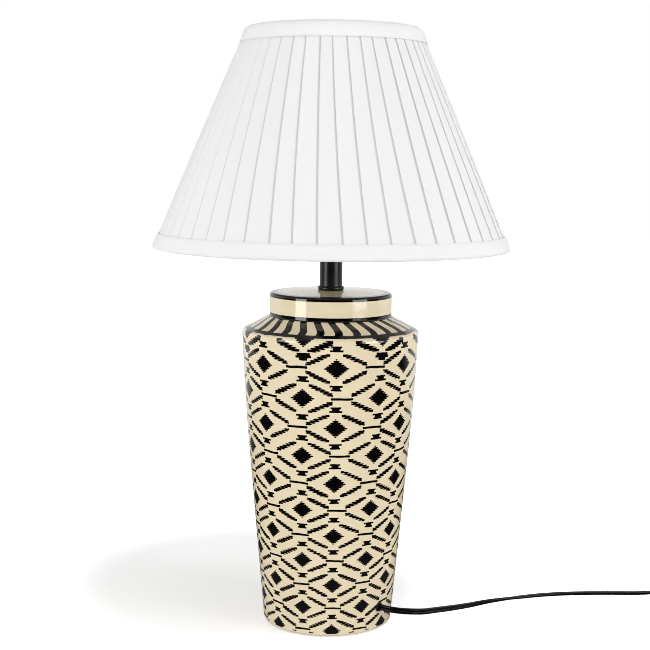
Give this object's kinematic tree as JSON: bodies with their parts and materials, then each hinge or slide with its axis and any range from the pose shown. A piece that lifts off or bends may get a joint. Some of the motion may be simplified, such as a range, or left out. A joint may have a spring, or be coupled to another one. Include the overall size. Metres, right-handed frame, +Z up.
{
  "type": "ceramic table lamp",
  "caption": "Table lamp with a tall tapered ceramic body, a short black stem, a pleated cone shade, a screw-in bulb and a flat cord with a switch and a plug.",
  "frame": {"origin": "centre of the lamp's foot, on the surface it stands on", "axes": "+Z up along the lamp's axis; +X to the right and +Y away from someone who sees the cord leave on the right"},
  "size_m": [0.6677, 0.31, 0.5234],
  "materials": {
    "glazed_body": "cream glaze with a black hand-painted diamond pattern, gloss",
    "felt": "black felt",
    "black_bush": "matt black",
    "cord_sheath": "soft black sheath",
    "zinc_steel": "zinc plated",
    "black_metal": "satin black",
    "holder_plastic": "black thermoset",
    "holder_porcelain": "unglazed porcelain",
    "contact_brass": "plain brass",
    "opal_glass": "opal white",
    "bulb_metal": "drawn aluminium",
    "bulb_insulator": "black glass",
    "white_wire": "white powder coat",
    "liner_film": "white film",
    "shade_cloth": "off-white woven cloth, knife pleated",
    "trim_cloth": "off-white woven bias tape",
    "switch_plastic": "black, fine moulded grain",
    "plug_plastic": "moulded black",
    "pin_brass": "nickel-plated brass"
  },
  "bodies": {
    "lamp": {"ceramic_body": "glazed_body", "base_felt": "felt", "cord_gland": "black_bush", "inner_lead": "cord_sheath", "threaded_rod": "zinc_steel", "lower_washer": "zinc_steel", "lower_nut": "zinc_steel", "stem_collar": "black_metal", "stem_tube": "black_metal", "holder_cap": "holder_plastic", "holder_shell": "holder_plastic", "holder_insert": "holder_porcelain", "terminal_screws": "contact_brass", "screw_shell": "contact_brass", "centre_contact": "contact_brass", "cord_run_lamp": "cord_sheath", "cord_run_switch": "cord_sheath", "cord_coil": "cord_sheath", "cord_run_plug": "cord_sheath", "switch_base": "switch_plastic", "switch_cover": "switch_plastic", "switch_screws": "zinc_steel", "plug_body": "plug_plastic", "plug_pins": "pin_brass", "plug_pin_sleeves": "plug_plastic"},
    "shade": {"shade_frame": "white_wire", "shade_top_wire": "white_wire", "shade_liner": "liner_film", "shade_cover": "shade_cloth", "shade_bottom_trim": "trim_cloth", "shade_top_trim": "trim_cloth"},
    "clamp_ring": {"shade_ring": "holder_plastic"},
    "bulb": {"bulb_glass": "opal_glass", "bulb_cap": "bulb_metal", "bulb_insulator": "bulb_insulator", "bulb_contact": "bulb_metal"},
    "rocker": {"switch_rocker": "switch_plastic"}
  },
  "joints": [
    {"name": "shade_turn", "type": "hinge", "parent": "lamp", "child": "shade", "pos_m": [0, 0, 0.37], "axis": [0, 0, 1], "continuous": true},
    {"name": "ring_unscrew", "type": "slide", "parent": "lamp", "child": "clamp_ring", "axis": [0, 0, 1], "range_m": [0, 0.018]},
    {"name": "bulb_unscrew", "type": "slide", "parent": "lamp", "child": "bulb", "axis": [0, 0, 1], "range_m": [0, 0.16]},
    {"name": "rocker_tilt", "type": "hinge", "parent": "lamp", "child": "rocker", "pos_m": [0.383, 0.067, 0.012], "axis": [0, -1, 0], "range_deg": [0, 16]}
  ]
}
